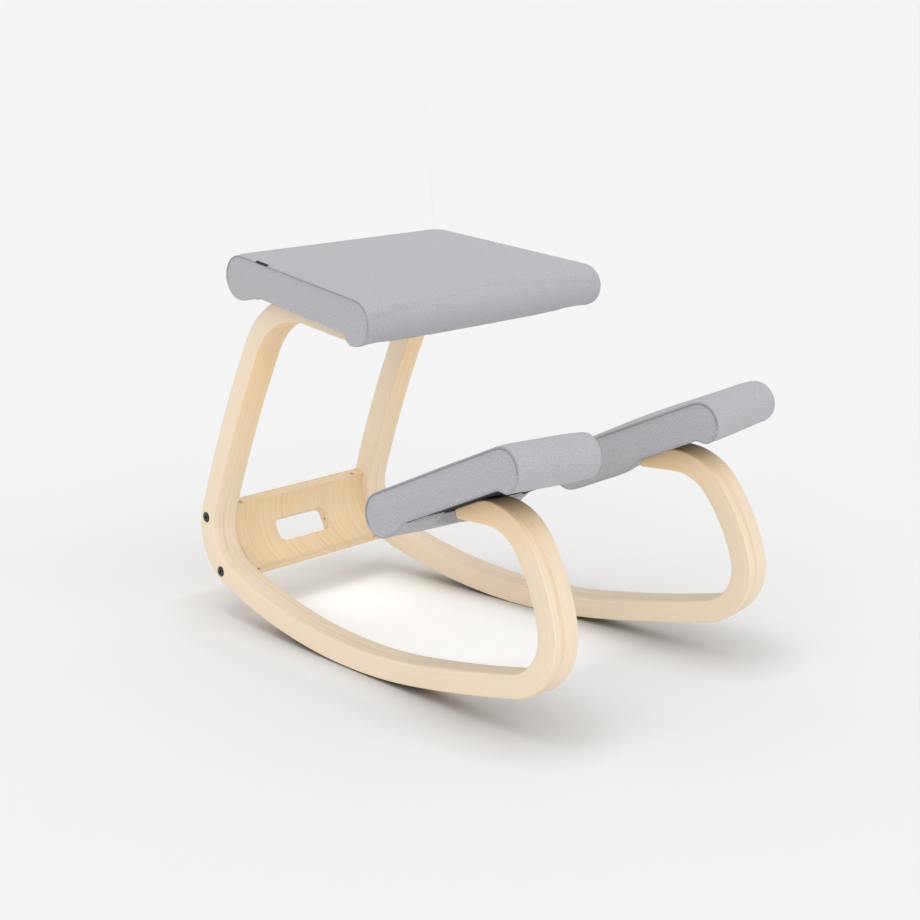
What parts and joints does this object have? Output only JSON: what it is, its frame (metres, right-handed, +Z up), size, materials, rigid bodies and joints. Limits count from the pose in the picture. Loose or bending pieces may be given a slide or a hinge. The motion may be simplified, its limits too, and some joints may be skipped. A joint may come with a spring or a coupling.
{
  "type": "rocking kneeling chair",
  "caption": "Kneeling chair on bent laminated wood rockers, with an upholstered seat, sloping knee pads and a bent plywood cross panel.",
  "frame": {"origin": "on the floor, under the middle of the bounding box", "axes": "+Z up, -Y is the chair's front, X runs across the chair"},
  "size_m": [0.4956, 0.7007, 0.5189],
  "materials": {
    "ash_laminate": "satin",
    "bent_plywood": "satin",
    "birch_board": "matte",
    "black_lining": "matte",
    "foam": "matte",
    "grey_cloth": "matte",
    "black_tape": "matte",
    "black_steel": "satin",
    "zinc_steel": "satin"
  },
  "bodies": {
    "root": {"barrel_nuts": "zinc_steel", "cross_panel": "bent_plywood", "knee_board_left": "birch_board", "knee_board_right": "birch_board", "knee_bolts_left": "black_steel", "knee_bolts_right": "black_steel", "knee_foam_left": "foam", "knee_foam_right": "foam", "knee_lining_left": "black_lining", "knee_lining_right": "black_lining", "knee_side_inner_left": "grey_cloth", "knee_side_inner_right": "grey_cloth", "knee_side_outer_left": "grey_cloth", "knee_side_outer_right": "grey_cloth", "knee_tee_nuts_left": "zinc_steel", "knee_tee_nuts_right": "zinc_steel", "knee_washers_left": "black_steel", "knee_washers_right": "black_steel", "knee_wrap_left": "grey_cloth", "knee_wrap_right": "grey_cloth", "panel_bolts_left": "black_steel", "panel_bolts_right": "black_steel", "runner_left": "ash_laminate", "runner_right": "ash_laminate", "seam_tag": "black_tape", "seat_board": "birch_board", "seat_bolts": "black_steel", "seat_foam": "foam", "seat_lining": "black_lining", "seat_side_left": "grey_cloth", "seat_side_right": "grey_cloth", "seat_tee_nuts": "zinc_steel", "seat_washers": "black_steel", "seat_wrap": "grey_cloth"}
  },
  "joints": []
}
